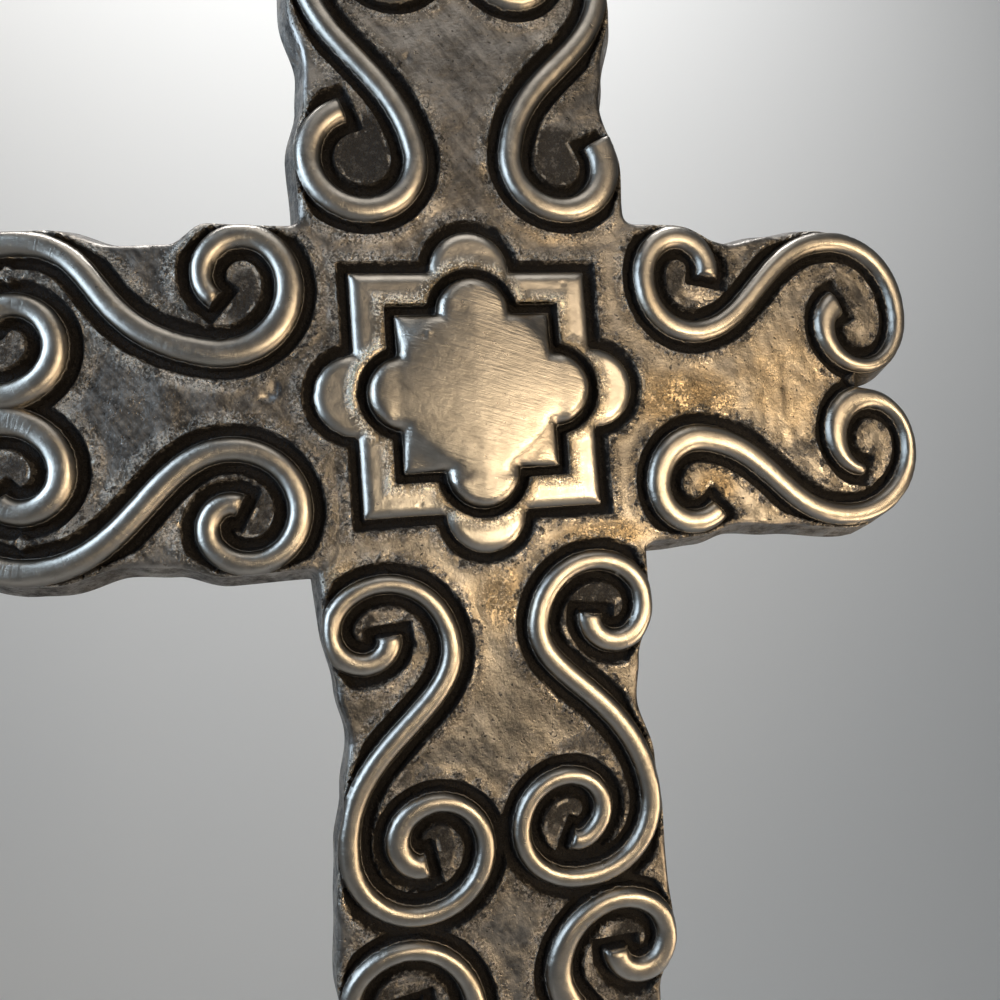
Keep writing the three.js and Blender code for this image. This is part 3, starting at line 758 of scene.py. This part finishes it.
def mesh_object(name, place, faces, values):
    """A closed, smooth object from corner places, triangles and values at its corners.

    What is left open after the triangles is the back, which is filled flat.
    """
    mesh = bpy.data.meshes.new(name)
    mesh.from_pydata(place, [], faces)
    bm = bmesh.new()
    bm.from_mesh(mesh)
    open_edges = [edge for edge in bm.edges if edge.is_boundary]
    bmesh.ops.holes_fill(bm, edges=open_edges, sides=0)
    bm.to_mesh(mesh)
    bm.free()
    for key, value in values.items():
        layer = mesh.attributes.new(key, "FLOAT", "POINT")
        layer.data.foreach_set("value", value.astype(np.float32))
    mesh.shade_smooth()
    mesh.set_sharp_from_angle(angle=math.radians(SHARP_ANGLE))
    mesh.validate()
    built = bpy.data.objects.new(name, mesh)
    bpy.context.scene.collection.objects.link(built)
    return built


# Metal


class Graph:
    """Short calls that add nodes to a material's tree and join them."""

    def __init__(self, material):
        material.use_nodes = True
        self.tree = material.node_tree
        self.tree.nodes.clear()

    def add(self, kind, inputs=(), **settings):
        """One node; inputs map a socket's name or number to a value or another socket."""
        node = self.tree.nodes.new(kind)
        for key, value in settings.items():
            setattr(node, key, value)
        for key, value in dict(inputs).items():
            if isinstance(value, bpy.types.NodeSocket):
                self.tree.links.new(value, node.inputs[key])
            else:
                node.inputs[key].default_value = value
        return node

    def field(self, name):
        """The value of one of the mesh's own fields."""
        return self.add("ShaderNodeAttribute", attribute_name=name).outputs["Fac"]

    def math(self, operation, *values):
        """One step of arithmetic on values."""
        return self.add("ShaderNodeMath", dict(enumerate(values)), operation=operation).outputs[0]

    def times(self, first, *others):
        """Product of values."""
        for value in others:
            first = self.math("MULTIPLY", first, value)
        return first

    def most(self, first, *others):
        """Largest of values."""
        for value in others:
            first = self.math("MAXIMUM", first, value)
        return first

    def plus(self, value, extra, strength):
        """Value plus an extra value times a strength."""
        return self.math("MULTIPLY_ADD", extra, strength, value)

    def shaken(self, value, *waves):
        """Value plus each noise, taken from its middle, times its strength."""
        for noise, strength in waves:
            value = self.plus(value, self.math("SUBTRACT", noise, 0.5), strength)
        return value

    def streaks(self, vector, degrees, stretch):
        """Places turned down to the right by an angle and drawn out along that direction."""
        node = self.add(
            "ShaderNodeMapping",
            {
                "Vector": vector,
                "Rotation": (0, math.radians(degrees), 0),
                "Scale": (stretch, 1.0, 1.0),
            },
            vector_type="TEXTURE",
        )
        return node.outputs[0]

    def noise(self, vector, scale, detail=4.0, roughness=0.55, dimensions="3D"):
        """Noise from about 0.2 to 0.8 at a scale in features per metre."""
        key = "W" if dimensions == "1D" else "Vector"
        node = self.add(
            "ShaderNodeTexNoise",
            {key: vector, "Scale": scale, "Detail": detail, "Roughness": roughness},
            noise_dimensions=dimensions,
        )
        return node.outputs[0]

    def between(self, value, low, high, out_low=0.0, out_high=1.0):
        """Value eased from low..high to out_low..out_high, held beyond both ends."""
        node = self.add(
            "ShaderNodeMapRange",
            {0: value, 1: low, 2: high, 3: out_low, 4: out_high},
            interpolation_type="SMOOTHSTEP",
        )
        return node.outputs[0]

    def off(self, mask, strength=1.0):
        """Strength where a mask is 0, eased down to nothing where it is 1."""
        return self.between(mask, 0.0, 1.0, strength, 0.0)

    def mix(self, share, a, b, way="MIX"):
        """Colour b over colour a by a share from 0 to 1; a plain colour is made opaque."""
        a, b = (c if isinstance(c, bpy.types.NodeSocket) else (*c, 1.0) for c in (a, b))
        node = self.add(
            "ShaderNodeMix", {0: share, 6: a, 7: b}, data_type="RGBA", blend_type=way
        )
        return node.outputs[2]

    def multiply(self, a, b):
        """Colour a times colour b."""
        return self.mix(1.0, a, b, "MULTIPLY")

    def shade(self, colour, value):
        """Colour times a value."""
        grey = self.add("ShaderNodeCombineColor", {0: value, 1: value, 2: value})
        return self.multiply(colour, grey.outputs[0])

    def blend(self, share, a, b):
        """Value b over value a by a share from 0 to 1."""
        node = self.add("ShaderNodeMix", {0: share, 2: a, 3: b}, data_type="FLOAT")
        return node.outputs[0]


# Noises of the metal: features per metre, detail, roughness
NOISES = {
    "coarse": (55, 6, 0.6),
    "medium": (190, 5, 0.6),
    "worn": (260, 4, 0.6),
    "smear": (380, 6, 0.7),
    "fine": (620, 4, 0.65),
    "crust": (820, 3, 0.7),
    "pit": (950, 2, 0.5),
    "clump": (1500, 4, 0.75),
    "grain": (1900, 2, 0.6),
}

# Noises drawn out along a direction: degrees down to the right, stretch, then as above
STREAKS = {"rubbed": (52, 6, 420, 5, 0.65), "stroke": (18, 14, 1500, 3, 0.7)}

# Marks across the bars: noise along a bar's length, in features per mm
ACROSS = (2.6, 1.0, 4, 0.7)

FIELDS = ("foot", "rim", "run", "band", "pillow", "dark", "warm")
WHITE = (1.0, 1.0, 1.0)
SPECK_AND_GLINT_TINT = (1.05, 0.98, 0.86)
COVERED_ROUGHNESS = 0.62
POLISHED_ROUGHNESS = 0.22
BUMP_HEIGHT = 0.001


def metal_masks(g, f, n):
    """Shares from 0 to 1 of what the metal is like at each place, from fields and noises."""
    m = {"raised": g.between(f["foot"], 0.1, -0.05)}
    m["off_pillow"] = g.between(f["pillow"], 2.0, 2.6)
    m["on_band"] = g.times(m["off_pillow"], g.between(f["band"], 0.2, -0.2))
    m["on_pillow"] = g.between(f["pillow"], 0.0, -1.5)
    m["on_bar"] = g.times(m["raised"], g.between(f["band"], -0.3, 0.4))

    # The rubbed rim of the ground along each groove
    near_rim = g.times(g.between(f["rim"], -0.1, 0.35), g.between(f["rim"], 1.3, 0.5))
    m["worn"] = g.times(near_rim, g.between(n["worn"], 0.5, 0.6))
    m["polish"] = g.between(f["warm"], 0.80, 0.98)

    # Wild: crystalline, speckled ground, near the grooves, in warm places, round the pillow; its
    # bright warm specks are painted glints
    wild = g.most(g.between(f["warm"], 0.3, 1.0), g.between(f["rim"], 4.5, 0.5, 0.0, 0.62))
    wild = g.times(wild, g.off(m["polish"]), g.off(m["raised"]))
    round_pillow = g.times(g.between(f["pillow"], 6.5, 2.4), m["off_pillow"])
    m["wild"] = g.most(wild, round_pillow)
    m["speck"] = g.between(g.plus(n["clump"], n["medium"], 0.7), 0.82, 0.95)

    # Black dirt: the grooves up to a ragged line, pits, caked places and thin smears
    ragged = g.shaken(f["rim"], (n["fine"], 2.6), (n["medium"], 1.6))
    off_bar = g.between(g.shaken(f["foot"], (n["fine"], 0.5)), -0.1, 0.12)
    groove = g.times(g.between(ragged, 0.4, -0.4), off_bar)
    m["pit"] = g.times(g.between(n["pit"], 0.34, 0.27), g.off(m["raised"], 0.8))
    patchy = g.shaken(f["dark"], (n["medium"], 1.1), (n["fine"], 0.8))
    soiled = g.times(g.between(patchy, 0.2, 0.75), g.math("SUBTRACT", 1.0, m["raised"]))
    caked = g.times(soiled, g.between(n["crust"], 0.50, 0.66, 0.93, 0.76))
    smear = g.plus(n["smear"], g.between(f["rim"], 0.0, 6.0, 0.0, 0.3), -1.0)
    smear = g.times(g.between(smear, 0.49, 0.57), g.off(m["raised"], 0.9))
    smear = g.times(smear, g.between(n["crust"], 0.52, 0.64, 1.0, 0.3))
    covered = g.most(groove, m["pit"], g.most(caked, smear))
    m["covered"] = g.times(covered, g.between(m["worn"], 0.0, 1.0, 1.0, 0.25))
    return m


def metal_colour(g, f, n, m, settings):
    """Mottled ground; raised metal with painted shade on its flanks and painted sheen on the band;
    warm places, partly tarnish and partly painted sheen; specks, partly painted glints; then the
    dirt.
    """
    mottle = g.plus(g.plus(n["coarse"], n["fine"], 0.35), n["rubbed"], 0.5)
    ground = g.mix(g.between(mottle, 0.74, 1.1), settings.ground_dark, settings.ground_light)
    bright = g.between(n["medium"], 0.2, 0.75)
    bright = g.mix(bright, settings.raised_dark, settings.raised_light)
    # Raised metal is painted darker down its flanks towards the foot: painted shade on the steep
    # sides.
    painted_flank_shade = g.shaken(f["foot"], (n["medium"], 1.2))
    bright = g.shade(bright, g.between(painted_flank_shade, -0.1, -1.5, 0.42, 1.0))
    # Raised metal on the band is painted lighter: a painted sheen where the band catches the
    # light.
    bright = g.shade(bright, g.between(m["on_band"], 0.0, 1.0, 1.0, 1.28))
    colour = g.mix(m["raised"], ground, bright)
    # Warm places are painted golden: partly tarnish, partly a painted warm sheen and highlight.
    tarnish_and_sheen = g.between(g.shaken(f["warm"], (n["medium"], 0.9)), 0.1, 0.9)
    colour = g.mix(g.times(tarnish_and_sheen, 0.6), colour, settings.tarnish_and_sheen_tone)
    # In wild places the colour is speckled: the dark specks are the ground's grain, the bright
    # warm ones painted glints.
    speckled = g.between(m["speck"], 0.0, 1.0, 0.42, 1.9)
    colour = g.shade(colour, g.blend(m["wild"], 1.0, speckled))
    colour = g.multiply(colour, g.mix(m["wild"], WHITE, SPECK_AND_GLINT_TINT))
    colour = g.mix(g.times(m["worn"], 0.6), colour, settings.raised_light)
    return g.mix(m["covered"], colour, settings.groove_tone)


def metal_roughness(g, n, m, settings):
    """Roughness of ground and raised metal, varied by two noises, smoother where rubbed."""
    rough = g.blend(m["raised"], settings.ground_roughness, settings.raised_roughness)
    spread = g.blend(m["raised"], 0.35, 0.14)
    rough = g.shaken(rough, (n["fine"], spread), (n["rubbed"], spread))
    rough = g.plus(rough, m["worn"], -0.12)
    rough = g.blend(m["polish"], rough, POLISHED_ROUGHNESS)
    return g.blend(m["covered"], rough, COVERED_ROUGHNESS)


def metal_height(g, f, n, m):
    """Height for the bump: grain, marks across the bars, strokes on the pillow, pits."""
    scale, *rest = ACROSS
    across = g.noise(g.times(f["run"], scale), *rest, "1D")
    marks = g.times(across, m["on_bar"], 0.045)
    marks = g.plus(marks, g.times(n["stroke"], m["on_pillow"]), 0.12)
    grit = g.times(n["grain"], g.between(m["raised"], 0.0, 1.0, 0.08, 0.015))
    fine = g.most(g.between(m["raised"], 0.0, 1.0, 0.08, 0.02), g.times(m["wild"], 0.34))
    grit = g.plus(grit, n["fine"], fine)
    grit = g.plus(grit, n["medium"], g.blend(m["wild"], 0.14, 0.5))
    grit = g.plus(grit, g.times(n["grain"], m["covered"]), 0.5)
    grit = g.plus(grit, g.times(m["speck"], m["wild"]), 0.10)
    grit = g.math("SUBTRACT", grit, g.times(m["pit"], 0.25))
    return g.math("ADD", grit, marks)


def cast_metal(settings):
    """Weathered cast metal: satin raised parts, mottled ground, near-black rough grooves."""
    material = bpy.data.materials.new("cast_metal")
    g = Graph(material)
    place = g.add("ShaderNodeTexCoord").outputs["Object"]
    f = {name: g.field(name) for name in FIELDS}
    n = {name: g.noise(place, *row) for name, row in NOISES.items()}
    for name, (degrees, stretch, *row) in STREAKS.items():
        n[name] = g.noise(g.streaks(place, degrees, stretch), *row)
    m = metal_masks(g, f, n)
    height = g.times(metal_height(g, f, n, m), settings.bump)
    bump = {"Height": height, "Strength": 1.0, "Distance": BUMP_HEIGHT}
    shader = g.add(
        "ShaderNodeBsdfPrincipled",
        {
            "Base Color": metal_colour(g, f, n, m, settings),
            "Metallic": g.blend(m["covered"], 1.0, 0.1),
            "Roughness": metal_roughness(g, n, m, settings),
            "Specular IOR Level": g.blend(m["covered"], 0.5, 0.22),
            "Normal": g.add("ShaderNodeBump", bump).outputs[0],
        },
    )
    g.add("ShaderNodeOutputMaterial", {"Surface": shader.outputs[0]})
    return material


def plain_matt(name, colour, roughness=0.9):
    """Plain matt finish of one colour, for the stage."""
    material = bpy.data.materials.new(name)
    g = Graph(material)
    inputs = {"Base Color": (*colour, 1.0), "Roughness": roughness}
    shader = g.add("ShaderNodeBsdfPrincipled", inputs)
    g.add("ShaderNodeOutputMaterial", {"Surface": shader.outputs[0]})
    return material


# Stage

# Lamps that face the middle of the rosette: place in metres, width and height, colour, and
# the setting that holds the power in watts
LAMPS = {
    "warm_lamp": ((0.27, -0.44, -0.19), (0.12, 0.12), (1.0, 0.76, 0.46), "warm_power"),
    "low_lamp": ((0.42, -0.20, -0.42), (0.20, 0.20), (1.0, 0.73, 0.44), "low_power"),
    "front_lamp": ((0.22, -0.50, -0.06), (0.30, 0.30), (1.0, 0.78, 0.53), "front_power"),
    "glow_lamp": ((0.075, -0.45, -0.175), (0.06, 0.06), (1.0, 0.82, 0.56), "glow_power"),
    "cool_window": ((-0.52, -0.17, 0.04), (0.40, 0.50), (0.62, 0.80, 1.0), "cool_power"),
    "top_lamp": ((0.05, -0.34, 0.5), (0.40, 0.40), (1.0, 0.96, 0.90), "top_power"),
}

# The backdrop's lamp: place, height of the point it faces, width and height
BACKDROP_LAMP = ((0, 0.2, 1.6), -0.5, (1.5, 0.3))

# The backdrop and the floor reach this far to each side and to the front, and from the
# floor's height to the backdrop's top
STAGE_REACH, FLOOR_HEIGHT, BACKDROP_TOP = 5, -1.55, 4.2

ROOM_COLOUR = (0.80, 0.86, 0.92, 1)
SENSOR_WIDTH = 36
CLIP_START = 0.01


def soft_light(name, place, target, size, colour, power):
    """Rectangular lamp at a place, turned to a target, with its size, colour and power."""
    data = bpy.data.lights.new(name, "AREA")
    data.shape = "RECTANGLE"
    data.size, data.size_y = size
    data.energy = power
    data.color = colour
    lamp = bpy.data.objects.new(name, data)
    back = unit_rows(np.subtract(place, target))
    right = unit_rows(np.cross((0, 0, 1), back))
    lamp.matrix_world = turned(place, right, np.cross(back, right), back)
    bpy.context.scene.collection.objects.link(lamp)


def turned(place, right, up, back):
    """Matrix with the three directions as columns, standing at a place."""
    rows = [[*map(float, row)] for row in np.stack([right, up, back, place], -1)]
    return Matrix(rows + [[0, 0, 0, 1]])


def flat_sheet(name, low, high, material):
    """Rectangle between two corners that share one coordinate."""
    low, high = np.array(low, float), np.array(high, float)
    flat = int(np.argmin(np.abs(high - low)))
    along = [axis for axis in range(3) if axis != flat]
    place = np.tile(low, (4, 1))
    place[1:3, along[0]] = high[along[0]]
    place[2:4, along[1]] = high[along[1]]
    mesh = bpy.data.meshes.new(name)
    mesh.from_pydata(place, [], [(0, 1, 2, 3)])
    mesh.materials.append(material)
    sheet = bpy.data.objects.new(name, mesh)
    bpy.context.scene.collection.objects.link(sheet)
    return sheet


def look_camera(settings):
    """Camera that sees the cross as in the picture: turned, tipped and rolled about a point."""
    turn, tip, roll = settings.camera_turn, settings.camera_tip, settings.camera_roll
    back = np.array(
        [-math.cos(tip) * math.sin(turn), -math.cos(tip) * math.cos(turn), -math.sin(tip)]
    )
    level_right = unit_rows(np.cross(-back, (0, 0, 1)))
    level_up = np.cross(level_right, -back)
    right = math.cos(roll) * level_right + math.sin(roll) * level_up
    up = math.cos(roll) * level_up - math.sin(roll) * level_right
    target = np.array(settings.camera_target[:])
    data = bpy.data.cameras.new("picture_camera")
    data.lens = settings.camera_lens
    data.sensor_width = SENSOR_WIDTH
    data.clip_start = CLIP_START
    camera = bpy.data.objects.new("picture_camera", data)
    camera.matrix_world = turned(target + back * settings.camera_distance, right, up, back)
    bpy.context.scene.collection.objects.link(camera)
    bpy.context.scene.camera = camera


# Settings


def a_length(name, description, default):
    """A length in metres that the user can change."""
    return bpy.props.FloatProperty(
        name=name, description=description, default=default, unit="LENGTH", precision=4
    )


def a_colour(name, description, default):
    """A colour that the user can change."""
    return bpy.props.FloatVectorProperty(
        name=name, description=description, default=default, subtype="COLOR", min=0, max=1
    )


def a_number(name, description, default):
    """A plain number that the user can change."""
    return bpy.props.FloatProperty(name=name, description=description, default=default, min=0)


def a_turn(name, description, degrees):
    """An angle that the user can change."""
    return bpy.props.FloatProperty(
        name=name, description=description, default=math.radians(degrees), unit="ROTATION"
    )


class WallCrossSize(bpy.types.PropertyGroup):
    """Sizes of the casting; levels are measured forward from the flat back."""

    height: a_length("Height", "Overall height between the arms' front edges", 0.3556)
    width: a_length("Width", "Overall width between the arms' front edges", 0.254)
    hang_height: a_length("Hang height", "Hanging point above the rosette's centre", 0.1)
    side_eye_inset: a_length("Side eye inset", "Side loops' eyes in from the arm's end", 0.0204)
    corner_radius: a_length("Corner radius", "Round of the corners between the arms", 0.0032)
    ground_level: a_length("Ground level", "Level of the flat ground", 0.008)
    floor_level: a_length("Groove floor level", "Level of the grooves' floor", 0.0059)
    bar_crest_level: a_length("Bar crest level", "Level of the bars' crest", 0.0097)
    bar_side_level: a_length("Bar side level", "Level where a bar's top meets its side", 0.0077)
    band_edge_level: a_length("Band edge level", "Level of the rosette band's edge", 0.0078)
    band_level: a_length("Band level", "Level of the rosette's band", 0.0086)
    pillow_edge_level: a_length("Pillow edge level", "Level of the pillow's edge", 0.0076)
    pillow_crest_level: a_length("Pillow crest level", "Level of the pillow's crest", 0.0114)
    groove_width: a_length("Groove width", "Width of the groove along each bar", 0.0031)
    groove_slope: a_length("Groove slope", "Width of the groove's outer slope", 0.0009)
    draft_arms: a_length("Arms' draft", "Spread of the side wall on the arms", 0.0026)
    draft_foot: a_length("Foot draft", "Spread of the side wall low on the foot", 0.0012)
    draft_change_top: a_length("Draft change top", "Height where the draft's change starts", -0.04)
    draft_change_bottom: a_length("Draft change end", "Height at which the change ends", -0.062)
    rim_round: a_length("Rim round", "Width of the worn round at the front edge", 0.0011)
    back_chamfer: a_length("Back chamfer", "Chamfer round the back", 0.0004)
    cell: a_length("Mesh cell", "Side of a cell of the front's mesh", 0.00072)


class WallCrossSurface(bpy.types.PropertyGroup):
    """Colours and texture of the metal."""

    swell: a_number("Swell", "Strength of the ground's hammered swells", 1.0)
    bump: a_number("Grain", "Strength of the fine casting grain", 1.0)
    raised_light: a_colour("Raised, light", "Rubbed raised metal", (0.56, 0.52, 0.465))
    raised_dark: a_colour("Raised, dark", "Dull places on raised metal", (0.38, 0.35, 0.31))
    ground_light: a_colour("Ground, light", "Lighter places on the ground", (0.40, 0.373, 0.343))
    ground_dark: a_colour("Ground, dark", "Darker places on the ground", (0.17, 0.158, 0.145))
    # The warm tarnish colour is partly the metal's golden tarnish and partly a painted warm sheen.
    tarnish_and_sheen_tone: a_colour("Warm tarnish", "Golden brown tarnish", (0.58, 0.45, 0.28))
    groove_tone: a_colour("Grooves", "Blackened grooves and stains", (0.012, 0.010, 0.009))
    raised_roughness: a_number("Raised roughness", "Roughness of raised metal", 0.31)
    ground_roughness: a_number("Ground roughness", "Roughness of the ground", 0.36)


class WallCrossStage(bpy.types.PropertyGroup):
    """Camera, lamps and backdrop."""

    camera_target: bpy.props.FloatVectorProperty(
        name="Target",
        description="Point at the middle of the picture",
        default=(0.0035, -0.008, -0.1274),
        subtype="XYZ",
        unit="LENGTH",
    )
    camera_distance: a_length("Distance", "From the target to the camera", 0.188)
    camera_lens: a_number("Lens", "Focal length in mm on a 36 mm sensor", 27.18)
    camera_turn: a_turn("Turn", "Turn to the left", 11.5)
    camera_tip: a_turn("Tip", "Tip below the level", 2.0)
    camera_roll: a_turn("Roll", "Roll about the view", -4.2)
    backdrop_gap: a_length("Backdrop gap", "From the cross's back to the backdrop", 1.085)
    backdrop_tone: a_colour("Backdrop", "Backdrop and floor", (0.90, 0.90, 0.89))
    warm_power: a_number("Warm lamp", "Power of the warm lamp in watts", 0.82)
    low_power: a_number("Low lamp", "Power of the low warm lamp in watts", 0.86)
    front_power: a_number("Front lamp", "Power of the front lamp in watts", 0.59)
    glow_power: a_number("Glow lamp", "Power of the small lamp by the camera in watts", 0.12)
    cool_power: a_number("Cool lamp", "Power of the cool lamp in watts", 3.1)
    top_power: a_number("Top lamp", "Power of the top lamp in watts", 0.6)
    back_power: a_number("Backdrop lamp", "Power of the backdrop's lamp in watts", 26.0)
    world_strength: a_number("Room light", "Strength of the even light", 0.075)


class WALLCROSS_OT_casting(bpy.types.Operator):
    """Build the casting: scrolled bars and a central rosette on a drafted plate"""

    bl_idname = "wallcross.casting"
    bl_label = "Build the casting"

    def execute(self, context):
        scene = context.scene
        relief = Relief(scene.wall_cross_size, scene.wall_cross_surface)
        place, faces, values = cross_mesh(relief, scene.wall_cross_size.cell / MM)
        casting = mesh_object("cross_casting", place, faces, values)
        casting.data.materials.append(cast_metal(scene.wall_cross_surface))
        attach(casting, "root")
        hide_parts("wall_cross")
        return {"FINISHED"}


class WALLCROSS_OT_stage(bpy.types.Operator):
    """Set up the backdrop, the floor, the lamps and the camera"""

    bl_idname = "wallcross.stage"
    bl_label = "Build the stage"

    def execute(self, context):
        scene = context.scene
        size, stage = scene.wall_cross_size, scene.wall_cross_stage
        paper = plain_matt("pale_paper", stage.backdrop_tone)
        gap = stage.backdrop_gap
        side = STAGE_REACH
        low, high = (-side, gap, FLOOR_HEIGHT), (side, gap, BACKDROP_TOP)
        backdrop = flat_sheet("backdrop", low, high, paper)
        low, high = (-side, -side, FLOOR_HEIGHT), (side, gap, FLOOR_HEIGHT)
        floor = flat_sheet("floor", low, high, paper)
        middle = (0, 0, -size.hang_height)
        for name, (place, lamp_size, colour, power) in LAMPS.items():
            soft_light(name, place, middle, lamp_size, colour, getattr(stage, power))
        place, target_height, lamp_size = BACKDROP_LAMP
        target = (0, gap, target_height)
        soft_light("backdrop_lamp", place, target, lamp_size, WHITE, stage.back_power)
        world = bpy.data.worlds.new("even_light")
        world.use_nodes = True
        background = world.node_tree.nodes["Background"]
        background.inputs["Color"].default_value = ROOM_COLOUR
        background.inputs["Strength"].default_value = stage.world_strength
        scene.world = world
        scene.view_settings.view_transform = "Standard"
        look_camera(stage)
        return {"FINISHED"}


class WALLCROSS_PT_panel(bpy.types.Panel):
    """Settings of the wall cross and a button for each step"""

    bl_idname = "WALLCROSS_PT_panel"
    bl_label = "Wall cross"
    bl_space_type = "VIEW_3D"
    bl_region_type = "UI"
    bl_category = "Wall cross"

    def draw(self, context):
        groups = (
            (context.scene.wall_cross_size, WALLCROSS_OT_casting),
            (context.scene.wall_cross_surface, None),
            (context.scene.wall_cross_stage, WALLCROSS_OT_stage),
        )
        for group, operator in groups:
            box = self.layout.box()
            for key in group.__annotations__:
                box.prop(group, key)
            if operator:
                box.operator(operator.bl_idname)


CLASSES = (
    WallCrossSize,
    WallCrossSurface,
    WallCrossStage,
    WALLCROSS_OT_casting,
    WALLCROSS_OT_stage,
    WALLCROSS_PT_panel,
)


def register():
    for kind in CLASSES:
        bpy.utils.register_class(kind)
    scene = bpy.types.Scene
    scene.wall_cross_size = bpy.props.PointerProperty(type=WallCrossSize)
    scene.wall_cross_surface = bpy.props.PointerProperty(type=WallCrossSurface)
    scene.wall_cross_stage = bpy.props.PointerProperty(type=WallCrossStage)


def unregister():
    for key in ("wall_cross_size", "wall_cross_surface", "wall_cross_stage"):
        delattr(bpy.types.Scene, key)
    for kind in reversed(CLASSES):
        bpy.utils.unregister_class(kind)


def main():
    register()
    bpy.ops.wallcross.casting()
    bpy.ops.wallcross.stage()


if __name__ == "__main__":
    main()
